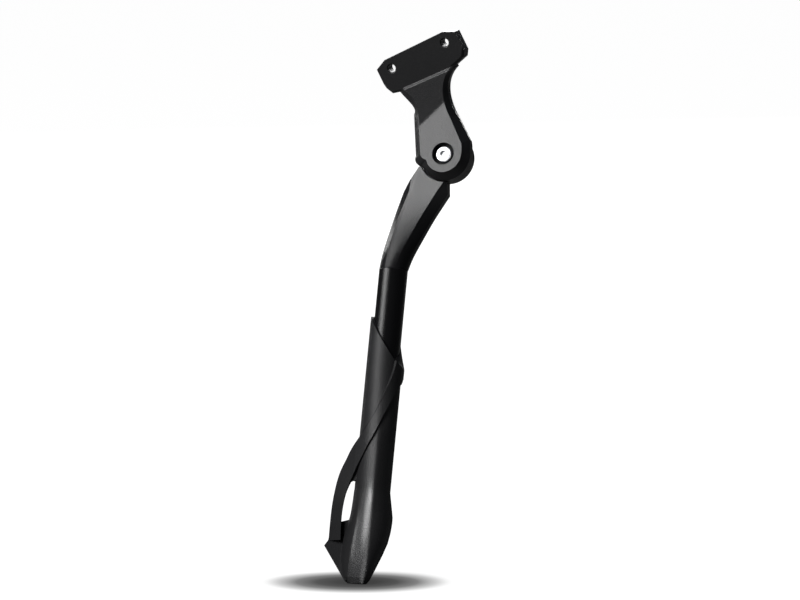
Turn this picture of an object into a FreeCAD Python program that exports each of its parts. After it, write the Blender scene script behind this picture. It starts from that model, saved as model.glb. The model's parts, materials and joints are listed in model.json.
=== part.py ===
"""Rear-mount bicycle kickstand, adjustable, with a ribbon-wrapped foot sleeve.

Millimetres, +Z up, +X towards the rear of the bicycle, outer side facing -Y. The origin lies midway between
the two fixing holes, on the plate's back face. The leg turns in a plane that splays outwards: its own frame
starts at the pivot, on the front of the boss, and the rod has a further frame that starts at the knee.
"""

import FreeCAD, Part
import math
import os

import Sketcher
from FreeCAD import Placement, Rotation, Vector

SIZES = {
    "plate": {
        "hole_spacing": 40.0,
        "hole_line_tilt": 27.3,
        "thread_bore": 5.2,
        "hole_countersink": 0.6,
        "plate_length": 58.8,
        "plate_above_holes": 6.8,
        "plate_below_holes": 16.8,
        "plate_thickness": 10.0,
        "top_corner_along": 7.6,
        "top_corner_down": 3.4,
        "bottom_corner_along": 2.4,
        "bottom_corner_up": 4.6,
        "lower_left_along": 18.5,
        "lower_left_rise": 2.0,
        "lower_right_along": 14.6,
        "lower_right_rise": 3.0,
        "lower_sag": 0.4,
        "plate_edge_break": 1.6,
    },
    "neck": {
        "neck_front": 11.2,
        "neck_back": 2.0,
        "neck_bevel_depth": 3.6,
        "crease_rise": 1.6,
        "root_depth": 0.3,
        "root_wall_depth": 1.0,
    },
    "pivot boss": {
        "pivot_right": 20.4,
        "pivot_out": 20.95,
        "pivot_drop": 60.65,
        "splay": 23.0,
        "boss_thickness": 11.0,
        "boss_radius": 16.4,
        "boss_bevel_depth": 5.6,
        "plateau_radius": 12.1,
        "stop_corner_radius": 4.8,
        "screw_recess_diameter": 14.3,
        "screw_recess_depth": 3.2,
    },
    "pivot stack": {
        "screw_diameter": 6.0,
        "screw_head_diameter": 10.4,
        "screw_head_height": 2.9,
        "screw_socket_flats": 4.0,
        "screw_socket_depth": 1.9,
        "screw_bore_clearance": 0.15,
        "spacer_diameter": 10.0,
        "running_clearance": 0.05,
        "thrust_washer_diameter": 16.0,
        "thrust_washer_thickness": 0.75,
        "face_gap": 0.025,
        "steel_washer_diameter": 14.0,
        "steel_washer_thickness": 1.0,
        "nut_flats": 10.0,
        "nut_height": 4.4,
        "screw_tail": 1.2,
    },
    "detent": {
        "detent_radius": 11.0,
        "detent_angle": 100.0,
        "detent_depth": 0.95,
        "detent_clearance": 0.1,
        "plunger_diameter": 5.0,
        "plunger_length": 6.5,
        "plunger_tip_diameter": 2.4,
        "plunger_cup_diameter": 3.8,
        "plunger_cup_depth": 3.4,
        "plunger_lift": 0.05,
        "plunger_bore_depth": 8.0,
        "spring_wire": 0.5,
        "spring_turns": 5.0,
        "spring_side_gap": 0.15,
        "spring_end_gap": 0.05,
    },
    "arm": {
        "eye_thickness": 5.6,
        "eye_radius": 16.1,
        "eye_proud": 0.1,
        "shoulder_radius": 17.2,
        "arm_front": 5.6,
        "knee_left": 27.0,
        "knee_drop": 75.9,
        "rod_depth": 11.5,
        "rod_lean": 1.64,
        "fold_angle": 102.0,
        "spigot_length": 24.0,
        "spigot_clearance": 0.05,
    },
    "rod": {
        "rod_diameter": 18.4,
        "rod_wall": 1.8,
        "rod_length": 140.0,
        "groove_width": 4.2,
        "groove_depth": 1.0,
        "groove_top": 38.0,
        "groove_bottom": 100.0,
        "pin_diameter": 3.0,
        "pin_share": 0.46,
        "pin_length": 13.0,
        "plug_length": 12.0,
        "plug_flange": 1.6,
        "plug_inset": 0.3,
    },
    "foot sleeve": {
        "sleeve_wall": 2.3,
        "sleeve_clearance": 0.1,
        "sleeve_bore_drop": 172.0,
        "sleeve_foot_top": 144.0,
        "rim_reach": 0.7,
        "lock_drop": 68.0,
        "lock_boss_diameter": 11.0,
        "lock_boss_height": 3.4,
        "insert_diameter": 7.4,
        "lock_screw_diameter": 5.0,
        "lock_screw_length": 4.6,
        "lock_pad_diameter": 3.9,
        "lock_pad_clearance": 0.1,
        "ribbon_rise": 1.25,
        "collar_rise": 1.5,
        "collar_crown": 0.05,
        "ribbon_thickness": 3.0,
        "loop_crown": 0.3,
        "fin_front": -7.6,
        "fin_recede": 0.2,
        "fin_thickness": 8.0,
        "web_front": -7.0,
        "web_thickness": 4.4,
    },
}

DOC = FreeCAD.newDocument("kickstand")
SHEET = DOC.addObject("Spreadsheet::Sheet", "Sizes")


def fill_sheet():
    """One row for each driving dimension: its name, then its value under an alias."""
    line = 1
    for group, rows in SIZES.items():
        SHEET.set(f"A{line}", group)
        line += 1
        for alias, value in rows.items():
            SHEET.set(f"A{line}", alias)
            SHEET.set(f"B{line}", str(value))
            SHEET.setAlias(f"B{line}", alias)
            line += 1
    DOC.recompute()


fill_sheet()


def size(alias):
    """The value of a named size, from the sheet."""
    return float(SHEET.get(alias))


def bound(text):
    """An expression in which each word is a size in the sheet."""
    words = text.replace("(", " ( ").replace(")", " ) ").split()
    return " ".join(f"Sizes.{word}" if word[0].isalpha() else word for word in words)


def worth(text):
    """The number that such an expression gives."""
    return float(SHEET.evalExpression(bound(text)))


def leg_frame():
    """Frame of the splayed leg: x to the right, y to the rear, z up along the leg, from the pivot."""
    base = Vector(size("pivot_right"), -size("pivot_out"), -size("pivot_drop"))
    return Placement(base, Rotation(Vector(1, 0, 0), -size("splay")))


def rod_frame():
    """Frame of the rod: z up along the rod's axis, from the knee."""
    return leg_frame() * knee_placement()


def pivot_axis_frame(x, y, z):
    """Frame at a point of the leg's frame, with z to the rear along the pivot's direction."""
    return leg_frame() * Placement(Vector(x, y, z), Rotation(Vector(1, 0, 0), -90))


# Sketches and bodies


def new_body(label, placement):
    body = DOC.addObject("PartDesign::Body", label)
    body.Label = label
    body.Placement = placement
    return body


def new_sketch(body, name, role, shift="0"):
    """A sketch on one of the body's own planes, moved along the plane's normal by an expression."""
    sketch = body.newObject("Sketcher::SketchObject", name)
    plane = next(feature for feature in body.Origin.OriginFeatures if feature.Role == role)
    sketch.AttachmentSupport = [(plane, "")]
    sketch.MapMode = "FlatFace"
    sketch.setExpression("AttachmentOffset.Base.z", bound(shift))
    return sketch


def hold(sketch, name, kind, *where, text):
    """A constraint that an expression drives."""
    index = sketch.addConstraint(Sketcher.Constraint(kind, *where, worth(text)))
    sketch.renameConstraint(index, name)
    sketch.setExpression(f"Constraints.{name}", bound(text))


def minor_arc(start, end, radius, side):
    """The short arc from start to end whose centre lies left (1) or right (-1) of the way; and its start end."""
    chord = end - start
    across = Vector(-chord.y, chord.x, 0).normalize()
    reach = math.sqrt(max(radius * radius - chord.Length * chord.Length / 4, 0.0))
    centre = (start + end) * 0.5 + across * (side * reach)
    first, last = (start, end) if side > 0 else (end, start)
    angles = [math.atan2(point.y - centre.y, point.x - centre.x) for point in (first, last)]
    circle = Part.Circle(centre, Vector(0, 0, 1), radius)
    return Part.ArcOfCircle(circle, angles[0], angles[1]), (1 if side > 0 else 2)


def draw_outline(sketch, corners):
    """A closed outline. Each corner is (x, y), or (x, y, radius, side) where an arc leads to the next one."""
    points = [Vector(worth(corner[0]), worth(corner[1]), 0) for corner in corners]
    ends = []
    for index, corner in enumerate(corners):
        start, end = points[index], points[(index + 1) % len(points)]
        if len(corner) == 2:
            sketch.addGeometry(Part.LineSegment(start, end))
            ends.append((1, 2))
        else:
            arc, first = minor_arc(start, end, worth(corner[2]), corner[3])
            sketch.addGeometry(arc)
            ends.append((first, 3 - first))
    for index, corner in enumerate(corners):
        following = (index + 1) % len(corners)
        sketch.addConstraint(
            Sketcher.Constraint("Coincident", index, ends[index][1], following, ends[following][0])
        )
        hold(sketch, f"x{index}", "DistanceX", -1, 1, index, ends[index][0], text=corner[0])
        hold(sketch, f"y{index}", "DistanceY", -1, 1, index, ends[index][0], text=corner[1])
        if len(corner) > 2:
            hold(sketch, f"r{index}", "Radius", index, text=corner[2])


def draw_circle(sketch, x, y, radius):
    index = sketch.addGeometry(Part.Circle(Vector(worth(x), worth(y), 0), Vector(0, 0, 1), worth(radius)))
    hold(sketch, f"cx{index}", "DistanceX", -1, 1, index, 3, text=x)
    hold(sketch, f"cy{index}", "DistanceY", -1, 1, index, 3, text=y)
    hold(sketch, f"cr{index}", "Radius", index, text=radius)


def pad(body, sketch, length, name="pad"):
    feature = body.newObject("PartDesign::Pad", name)
    feature.Profile = sketch
    feature.setExpression("Length", bound(length))
    sketch.Visibility = False
    DOC.recompute()
    return feature


def pocket(body, sketch, length, reverse, name="pocket"):
    """A cut that has to take material away, in the direction given."""
    before = body.Shape.Volume
    feature = body.newObject("PartDesign::Pocket", name)
    feature.Profile = sketch
    feature.Reversed = reverse
    feature.setExpression("Length", bound(length))
    sketch.Visibility = False
    DOC.recompute()
    if body.Shape.Volume >= before:
        raise ValueError(f"{body.Label}: {name} cuts nothing")
    return feature


def chamfer(body, base, edges, width, name="chamfer"):
    feature = body.newObject("PartDesign::Chamfer", name)
    feature.Base = (base, edges)
    feature.setExpression("Size", bound(width))
    DOC.recompute()
    return feature


def turned(label, placement, corners):
    """A turned piece: a half profile of radius and height, revolved about z."""
    body = new_body(label, placement)
    sketch = new_sketch(body, f"{label}_profile", "XZ_Plane")
    draw_outline(sketch, corners)
    feature = body.newObject("PartDesign::Revolution", f"{label}_turning")
    feature.Profile = sketch
    feature.ReferenceAxis = (sketch, ["V_Axis"])
    feature.Angle = 360
    sketch.Visibility = False
    DOC.recompute()
    return body


def ring(label, placement, inner, outer, height):
    """A plain washer or tube with its lower face at the frame's origin."""
    return turned(label, placement, [(inner, "0"), (outer, "0"), (outer, height), (inner, height)])


def front_edges(shape, level, skip=None):
    """Edges that lie wholly in the plane y = level of the body's own frame."""
    names = []
    for index, edge in enumerate(shape.Edges, 1):
        box = edge.BoundBox
        if abs(box.YMin - level) < 0.001 and abs(box.YMax - level) < 0.001:
            if skip is None or not skip(box):
                names.append(f"Edge{index}")
    return names


def solid_piece(label, shape, placement):
    """A piece whose form has no plainer making: its shape is given in the frame of its placement."""
    feature = DOC.addObject("Part::Feature", label)
    feature.Label = label
    feature.Shape = shape
    feature.Placement = placement
    return feature


def cylinder(radius, height, base, direction):
    return Part.makeCylinder(radius, height, base, direction)


def eased(rows, steps):
    """The rows with steps - 1 more between each two, every number following a smooth curve through its column."""
    last = len(rows) - 1
    dense = []
    for index in range(last):
        before, start, end, after = (rows[min(max(index + shift, 0), last)] for shift in (-1, 0, 1, 2))
        for step in range(steps):
            t = step / steps
            dense.append(
                [
                    s + 0.5 * t * (e - b + t * (2 * b - 5 * s + 4 * e - a + t * (3 * s - b - 3 * e + a)))
                    for b, s, e, a in zip(before, start, end, after)
                ]
            )
    return dense + [list(rows[last])]


# Mount bracket


def plate_blank():
    """The two-hole plate: a bar with cut upper corners, along the line of the holes."""
    body = new_body("plate_blank", Placement(Vector(0, 0, 0), Rotation(Vector(0, 1, 0), -size("hole_line_tilt"))))
    sketch = new_sketch(body, "plate_outline", "XZ_Plane")
    half, top, bottom = "plate_length / 2", "plate_above_holes", "plate_below_holes"
    draw_outline(
        sketch,
        [
            (f"0 - {half}", f"{top} - top_corner_down"),
            (f"0 - {half}", f"0 - {bottom} + bottom_corner_up + lower_left_rise"),
            (f"0 - {half} + bottom_corner_along", f"0 - {bottom} + lower_left_rise"),
            ("0 - lower_left_along", f"0 - {bottom}"),
            ("lower_right_along", f"0 - {bottom} - lower_sag"),
            (f"{half} - bottom_corner_along", f"0 - {bottom} + lower_right_rise"),
            (half, f"0 - {bottom} + bottom_corner_up + lower_left_rise"),
            (half, f"{top} - top_corner_down"),
            (f"{half} - top_corner_along", top),
            (f"0 - {half} + top_corner_along", top),
        ],
    )
    blank = pad(body, sketch, "plate_thickness", "plate_pad")
    low = -size("plate_below_holes") + size("bottom_corner_up") + size("lower_left_rise") + 0.01
    chamfer(
        body,
        blank,
        front_edges(blank.Shape, -size("plate_thickness"), lambda box: box.ZMax > low),
        "plate_edge_break",
        "plate_lower_break",
    )
    holes = new_sketch(body, "fixing_holes", "XZ_Plane")
    draw_circle(holes, "0 - hole_spacing / 2", "0", "thread_bore / 2")
    draw_circle(holes, "hole_spacing / 2", "0", "thread_bore / 2")
    drilled = pocket(body, holes, "plate_thickness", True, "fixing_holes_cut")
    rims = [
        f"Edge{index}"
        for index, edge in enumerate(drilled.Shape.Edges, 1)
        if isinstance(edge.Curve, Part.Circle) and abs(edge.BoundBox.YMax + size("plate_thickness")) < 0.001
    ]
    chamfer(body, drilled, rims, "hole_countersink", "hole_mouths")
    return body


# The neck's cross-sections, from the crease under the plate downwards: the face's left and right ends as x and z,
# then how far the bevels reach beyond them.
NECK = [
    ((-9.0, -22.7), (21.3, -8.3), 4.0, 4.2),
    ((-4.9, -25.6), (18.0, -14.2), 5.0, 3.2),
    ((-1.2, -31.0), (17.2, -24.0), 3.9, 2.5),
]


def neck_section(left, right, left_bevel, right_bevel):
    """Six corners, from the back left: back and front of each wall, with the bevels between."""
    front, back, bevel = -size("neck_front"), -size("neck_back"), size("neck_bevel_depth")
    left, right = Vector(left[0], 0, left[1]), Vector(right[0], 0, right[1])
    along = (right - left).normalize()
    walls = left - along * left_bevel, right + along * right_bevel
    places = (walls[0], walls[0], left, right, walls[1], walls[1])
    depths = (back, front + bevel, front, front, front + bevel, back)
    return [Vector(place.x, depth, place.z) for place, depth in zip(places, depths)]


def mitre_placement():
    """Frame of the mitre between neck and boss: x along the fold, y to the rear, z up."""
    slope = math.radians(size("splay"))
    drop = (size("neck_front") - size("pivot_out")) * math.cos(slope) / math.sin(slope)
    fold = -size("pivot_drop") - drop
    return Placement(Vector(0, -size("neck_front"), fold), Rotation(Vector(1, 0, 0), -size("splay") / 2))


def neck_solid(boss):
    """The waist below the plate, a little proud of it, lofted down to the section in which it meets the boss."""
    mitre = mitre_placement()
    normal = mitre.Rotation.multVec(Vector(0, 0, 1))
    cut = boss.Shape.slice(normal, mitre.Base.dot(normal))[0]
    corners = [vertex.Point for vertex in cut.OrderedVertexes]
    middle = sum(corners, Vector()) * (1.0 / len(corners))
    back_left = min(corners, key=lambda point: point.x - middle.x - (point.y - middle.y))
    start = corners.index(back_left)
    corners = corners[start:] + corners[:start]
    if corners[1].x > corners[-1].x:
        corners = corners[:1] + corners[:0:-1]
    rows = [neck_section(*row) for row in NECK] + [corners]
    waist = Part.makeLoft([Part.makePolygon(row + row[:1]) for row in rows], True, False)
    rise = size("crease_rise")
    tucked = [point + Vector(-0.5 * rise, 0, rise) for point in rows[0]]
    for point in tucked[1:5]:
        point.y = max(point.y, -size("plate_thickness") + size("root_depth"))
    tucked[1].y = tucked[4].y = -size("plate_thickness") + size("root_wall_depth")
    root = Part.makeLoft([Part.makePolygon(row + row[:1]) for row in (rows[0], tucked)], True, True)
    return waist.fuse(root)


# The boss's outline in the leg's plane, from its upper left corner, and the narrower one of its plateau.
BOSS_OUTLINE = [
    ("0 - 25.7", "34.0"),
    ("0 - 19.7", "0 - 1.4", "stop_corner_radius", 1),
    ("0 - 15.2", "0 - 7.7"),
    ("0 - boss_radius * 0.8391", "0 - boss_radius * 0.54399", "boss_radius", 1),
    ("0", "0 - boss_radius", "boss_radius", 1),
    ("boss_radius * 0.97815", "boss_radius * 0.20791", "boss_radius * 1.6", 1),
    ("14.9", "11.4"),
    ("0.2", "34.0"),
]
PLATEAU_OUTLINE = [
    ("0 - 21.4", "34.0"),
    ("0 - 15.1", "0 - 1.2", "stop_corner_radius", 1),
    ("0 - 10.9", "0 - 4.6"),
    ("0 - plateau_radius * 0.74", "0 - plateau_radius * 0.6726", "plateau_radius", 1),
    ("0", "0 - plateau_radius", "plateau_radius", 1),
    ("plateau_radius * 0.98769", "0 - plateau_radius * 0.15643", "boss_radius * 1.6", 1),
    ("11.4", "7.3"),
    ("0 - 4.1", "34.0"),
]


def boss_blank():
    """The pivot boss: a straight-walled back and a broad bevel that narrows it to the plateau on its front."""
    body = new_body("boss_blank", leg_frame())
    plateau = new_sketch(body, "plateau_outline", "XZ_Plane")
    draw_outline(plateau, PLATEAU_OUTLINE)
    outline = new_sketch(body, "boss_outline", "XZ_Plane", "0 - boss_bevel_depth")
    draw_outline(outline, BOSS_OUTLINE)
    bevel = body.newObject("PartDesign::AdditiveLoft", "boss_bevel")
    bevel.Profile = plateau
    bevel.Sections = [outline]
    bevel.Ruled = True
    plateau.Visibility = False
    DOC.recompute()
    back = new_sketch(body, "boss_back_outline", "XZ_Plane", "0 - boss_thickness")
    draw_outline(back, BOSS_OUTLINE)
    pad(body, back, "boss_thickness - boss_bevel_depth", "boss_pad")
    return body


def mount_bracket():
    """The head: plate, neck and boss as one forging, with the screw's recess and the detent's bore."""
    plate, boss = plate_blank(), boss_blank()
    neck = solid_piece("neck_blank", neck_solid(boss), Placement())
    above = DOC.addObject("Part::Box", "space_above_boss")
    above.Length, above.Width, above.Height = 160, 120, 60
    above.Placement = mitre_placement() * Placement(Vector(-80, -60, 0), Rotation())
    trimmed = DOC.addObject("Part::Cut", "boss_trimmed")
    trimmed.Base, trimmed.Tool = boss, above
    forging = DOC.addObject("Part::MultiFuse", "head_forging")
    forging.Shapes = [plate, neck, trimmed]
    angle = math.radians(size("detent_angle"))
    reach = size("detent_radius")
    cuts = []
    for name, x, y, z, radius, depth in (
        ("screw_recess", 0, -5, 0, size("screw_recess_diameter") / 2, 5 + size("screw_recess_depth")),
        ("screw_bore", 0, 0, 0, size("screw_diameter") / 2 + size("screw_bore_clearance"), 40),
        (
            "plunger_bore",
            reach * math.cos(angle),
            size("boss_thickness") - size("plunger_bore_depth"),
            reach * math.sin(angle),
            size("plunger_diameter") / 2 + size("running_clearance"),
            20,
        ),
    ):
        cut = DOC.addObject("Part::Cylinder", name)
        cut.Radius = radius
        cut.Height = depth
        cut.Placement = pivot_axis_frame(x, y, z)
        cuts.append(cut)
    tools = DOC.addObject("Part::MultiFuse", "head_bores")
    tools.Shapes = cuts
    head = DOC.addObject("Part::Cut", "mount_bracket")
    head.Base, head.Tool = forging, tools
    head.Label = "mount_bracket"
    DOC.recompute()
    return head


# Pivot stack, from the front to the rear along the pivot's direction


def pivot_depths():
    """Depth of each face of the stack behind the front of the boss."""
    head_back = size("boss_thickness")
    washer = size("thrust_washer_thickness") + 2 * size("face_gap")
    eye_front = head_back + washer
    eye_back = eye_front + size("eye_thickness")
    spacer_back = eye_back + washer
    washer_back = spacer_back + size("steel_washer_thickness")
    return {
        "recess": size("screw_recess_depth"),
        "head_back": head_back,
        "eye_front": eye_front,
        "eye_back": eye_back,
        "spacer_back": spacer_back,
        "washer_back": washer_back,
        "nut_back": washer_back + size("nut_height"),
    }


def pivot_bolt():
    """Button-head screw with a hexagon socket, its underside on the floor of the recess."""
    depth = pivot_depths()
    body = turned(
        "pivot_bolt",
        pivot_axis_frame(0, depth["recess"], 0),
        [
            ("0", "0 - screw_head_height"),
            ("screw_head_diameter * 0.34", "0 - screw_head_height"),
            ("screw_head_diameter / 2", "0 - screw_head_height * 0.3"),
            ("screw_head_diameter / 2", "0"),
            ("screw_diameter / 2", "0"),
            (
                "screw_diameter / 2",
                "boss_thickness - screw_recess_depth + eye_thickness + thrust_washer_thickness * 2"
                " + face_gap * 4 + steel_washer_thickness + nut_height + screw_tail",
            ),
            (
                "0",
                "boss_thickness - screw_recess_depth + eye_thickness + thrust_washer_thickness * 2"
                " + face_gap * 4 + steel_washer_thickness + nut_height + screw_tail",
            ),
        ],
    )
    socket = new_sketch(body, "screw_socket", "XY_Plane", "0 - screw_head_height")
    far = "screw_socket_flats * 0.57735"
    near = "screw_socket_flats * 0.288675"
    side = "screw_socket_flats / 2"
    draw_outline(
        socket,
        [
            (f"0 - {far}", "0"),
            (f"0 - {near}", f"0 - {side}"),
            (near, f"0 - {side}"),
            (far, "0"),
            (near, side),
            (f"0 - {near}", side),
        ],
    )
    pocket(body, socket, "screw_socket_depth", True, "socket_cut")
    return body


def pivot_stack():
    """Spacer, thrust washers, steel washer and lock nut behind the boss."""
    depth = pivot_depths()
    ring(
        "pivot_spacer",
        pivot_axis_frame(0, depth["head_back"], 0),
        "screw_diameter / 2 + screw_bore_clearance",
        "spacer_diameter / 2",
        "eye_thickness + thrust_washer_thickness * 2 + face_gap * 4",
    )
    for label, start in (("front_thrust_washer", depth["head_back"]), ("rear_thrust_washer", depth["eye_back"])):
        ring(
            label,
            pivot_axis_frame(0, start + size("face_gap"), 0),
            "spacer_diameter / 2 + running_clearance",
            "thrust_washer_diameter / 2",
            "thrust_washer_thickness",
        )
    ring(
        "pivot_washer",
        pivot_axis_frame(0, depth["spacer_back"], 0),
        "screw_diameter / 2 + screw_bore_clearance",
        "steel_washer_diameter / 2",
        "steel_washer_thickness",
    )
    nut = new_body("pivot_nut", pivot_axis_frame(0, depth["washer_back"], 0))
    sketch = new_sketch(nut, "nut_outline", "XY_Plane")
    far, near, side = "nut_flats * 0.57735", "nut_flats * 0.288675", "nut_flats / 2"
    draw_outline(
        sketch,
        [
            (far, "0"),
            (near, side),
            (f"0 - {near}", side),
            (f"0 - {far}", "0"),
            (f"0 - {near}", f"0 - {side}"),
            (near, f"0 - {side}"),
        ],
    )
    draw_circle(sketch, "0", "0", "screw_diameter / 2")
    pad(nut, sketch, "nut_height", "nut_pad")


# Detent

SPRING_STEPS = 8


def detent_point():
    """Place of the detent in the leg's frame."""
    angle = math.radians(size("detent_angle"))
    return size("detent_radius") * math.cos(angle), size("detent_radius") * math.sin(angle)


def nose_tip_depth():
    return pivot_depths()["eye_front"] - size("plunger_lift")


def detent_plunger():
    """Steel pin with a tapered nose and a cup in its back for the spring."""
    x, z = detent_point()
    frame = pivot_axis_frame(x, nose_tip_depth(), z)
    radius, tip = size("plunger_diameter") / 2, size("plunger_tip_diameter") / 2
    length = size("plunger_length")
    body = cylinder(radius, length - radius + tip, Vector(0, 0, -length), Vector(0, 0, 1))
    nose = Part.makeCone(radius, tip, radius - tip, Vector(0, 0, tip - radius))
    cup_radius = size("plunger_cup_diameter") / 2
    cup = cylinder(cup_radius, size("plunger_cup_depth"), Vector(0, 0, -length), Vector(0, 0, 1))
    return solid_piece("detent_plunger", body.fuse(nose).cut(cup), frame)


def detent_spring():
    """Coil spring between the floor of the bore and the floor of the plunger's cup."""
    x, z = detent_point()
    wire = size("spring_wire")
    floor = size("boss_thickness") - size("plunger_bore_depth")
    cup_floor = nose_tip_depth() - size("plunger_length") + size("plunger_cup_depth")
    length = cup_floor - floor - wire - 2 * size("spring_end_gap")
    mean = size("plunger_cup_diameter") / 2 - size("spring_side_gap") - wire / 2
    stations = int(size("spring_turns") * SPRING_STEPS) + 1
    pitch = length / size("spring_turns")
    rings = []
    for station in range(stations):
        turn = 2 * math.pi * station / SPRING_STEPS
        outward = Vector(math.cos(turn), math.sin(turn), 0)
        middle = outward * mean + Vector(0, 0, pitch * station / SPRING_STEPS)
        half = wire / 2
        steps = (outward * half, Vector(0, 0, half), outward * -half, Vector(0, 0, -half))
        corners = [middle + step for step in steps]
        rings.append(Part.makePolygon(corners + corners[:1]))
    coil = Part.makeLoft(rings, True, True)
    return solid_piece("detent_spring", coil, pivot_axis_frame(x, floor + wire / 2 + size("spring_end_gap"), z))


# Leg arm


# The arm's sections: height; left and right walls; left and right ends of the front and of the back face; how far the
# front and the back shift in depth; where the left and right walls start and end in depth; how much the sides swell.
# The shoulder has straight facets, and the shank below it is eased into the round knee.
SHOULDER = [
    (-8.0, (-17.4, 1.6), (-16.2, 0.9), (-15.9, 0.4), (0, 0), (7.2, 16.0), (6.6, 16.4), 0),
    (-17.0, (-22.6, 2.2), (-18.4, 0.9), (-20.2, 0.6), (0, 0), (8.1, 15.4), (6.9, 16.2), 0),
    (-24.5, (-25.7, 3.4), (-20.0, -3.2), (-22.4, -0.5), (0, 0), (8.6, 15.0), (9.6, 15.5), 0),
]
ARM_STEPS = 3
SHANK = [
    (-40.0, (-29.4, -4.3), (-23.0, -10.4), (-25.8, -8.8), (-1.2, 1.0), (8.4, 14.8), (10.0, 14.6), 0.01),
    (-54.0, (-32.2, -10.4), (-26.2, -16.3), (-28.2, -15.2), (-2.4, 2.2), (8.0, 15.0), (8.8, 14.2), 0.03),
    (-66.0, (-34.4, -15.7), (-28.6, -20.8), (-29.8, -21.0), (-3.3, 3.1), (7.7, 15.2), (8.2, 14.8), 0.07),
]


def arm_corners(z, walls, face, back, shift, left_wall, right_wall, swell):
    """Eight corners of the arm's section across z, from the front left one, and how far its sides swell."""
    front = size("arm_front") + shift[0]
    rear = pivot_depths()["eye_back"] - size("eye_proud") + shift[1]
    return [
        *(face[0], front, z),
        *(face[1], front, z),
        *(walls[1], right_wall[0], z),
        *(walls[1], right_wall[1], z),
        *(back[1], rear, z),
        *(back[0], rear, z),
        *(walls[0], left_wall[1], z),
        *(walls[0], left_wall[0], z),
        swell,
    ]


def knee_placement():
    base = Vector(-size("knee_left"), size("rod_depth"), -size("knee_drop"))
    return Placement(base, Rotation(Vector(0, 1, 0), -size("rod_lean")))


def knee_corners():
    """Eight points of the round end of the arm, square to the rod, and the swell that makes its sides one circle."""
    radius = size("rod_diameter") / 2
    row = []
    for index in range(8):
        angle = math.radians(-112.5 + 45 * index)
        row += [*knee_placement().multVec(Vector(radius * math.cos(angle), radius * math.sin(angle), 0))]
    return row + [math.tan(math.radians(22.5) / 2) / 2]


def arm_section(row):
    """A closed section: straight sides, or arcs that swell by a share of their length."""
    corners = [Vector(*row[at : at + 3]) for at in range(0, 24, 3)]
    swell = row[24]
    if swell < 0.005:
        return Part.makePolygon(corners + corners[:1])
    middle = sum(corners, Vector()) * (1.0 / 8)
    edges = []
    for index, start in enumerate(corners):
        end = corners[(index + 1) % 8]
        chord = end - start
        halfway = (start + end) * 0.5
        outward = halfway - middle
        outward = (outward - chord * (outward.dot(chord) / chord.dot(chord))).normalize()
        edges.append(Part.Arc(start, halfway + outward * (chord.Length * swell), end).toShape())
    return Part.Wire(edges)


def leg_arm():
    """Forged arm: the eye behind the boss, the shoulder round it, and facets that run into the round knee."""
    depth = pivot_depths()
    shoulder = [arm_corners(*row) for row in SHOULDER]
    shank = eased([shoulder[-1]] + [arm_corners(*row) for row in SHANK] + [knee_corners()], ARM_STEPS)
    arm = Part.makeLoft([arm_section(row) for row in shoulder[:-1] + shank], True, True)
    rearward = Vector(0, 1, 0)
    eye = cylinder(size("eye_radius"), size("eye_thickness"), Vector(0, depth["eye_front"], 0), rearward)
    room = cylinder(size("shoulder_radius"), depth["eye_front"] + 5, Vector(0, -5, 0), rearward)
    arm = arm.cut(room).fuse(eye)
    spigot = cylinder(
        size("rod_diameter") / 2 - size("rod_wall") - size("spigot_clearance"),
        size("spigot_length") + 1,
        Vector(0, 0, -size("spigot_length")),
        Vector(0, 0, 1),
    )
    spigot.Placement = knee_placement()
    pin_room = pin_solid()
    pin_room.Placement = knee_placement()
    arm = arm.fuse(spigot).cut(pin_room)
    bore = cylinder(size("spacer_diameter") / 2 + size("running_clearance"), 40, Vector(0, 0, 0), rearward)
    arm = arm.cut(bore)
    wide = size("plunger_tip_diameter") / 2 + size("detent_depth") + size("detent_clearance")
    for turn in (0.0, size("fold_angle")):
        angle = math.radians(size("detent_angle") - turn)
        reach = size("detent_radius")
        place = Vector(reach * math.cos(angle), depth["eye_front"], reach * math.sin(angle))
        dimple = Part.makeCone(wide, wide - size("detent_depth"), size("detent_depth"), place, rearward)
        arm = arm.cut(dimple)
    return solid_piece("leg_arm", arm, leg_frame())


# Rod


def pin_drop():
    """The pin's height below the knee, at its share of the spigot's length."""
    return size("spigot_length") * size("pin_share")


def pin_solid():
    """The roll pin's bore and body: it enters from the back, through the tube and into the spigot."""
    start = size("rod_diameter") / 2
    return cylinder(size("pin_diameter") / 2, size("pin_length"), Vector(0, start, -pin_drop()), Vector(0, -1, 0))


def rod_pin():
    pin = pin_solid()
    core = cylinder(
        size("pin_diameter") / 2 - 0.5,
        size("pin_length"),
        Vector(0, size("rod_diameter") / 2, -pin_drop()),
        Vector(0, -1, 0),
    )
    return solid_piece("rod_pin", pin.cut(core), rod_frame())


def rod_tube():
    """Round tube with the pin's hole and, at the back, the blind groove that the lock pad runs in."""
    body = ring("rod_tube", rod_frame(), "rod_diameter / 2 - rod_wall", "rod_diameter / 2", "rod_length")
    body.Placement = rod_frame() * Placement(Vector(0, 0, -size("rod_length")), Rotation())
    groove = new_sketch(body, "lock_groove", "XZ_Plane", "0 - rod_diameter / 2")
    half = "groove_width / 2"
    top, low = "rod_length - groove_top", "rod_length - groove_bottom"
    draw_outline(
        groove,
        [(f"0 - {half}", low), (half, low), (half, top), (f"0 - {half}", top)],
    )
    pocket(body, groove, "groove_depth", True, "lock_groove_cut")
    hole = new_sketch(body, "pin_hole", "XZ_Plane", "0 - rod_diameter / 2")
    draw_circle(hole, "0", "rod_length - spigot_length * pin_share", "pin_diameter / 2")
    pocket(body, hole, "rod_wall + 2", True, "pin_hole_cut")
    return body


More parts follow.
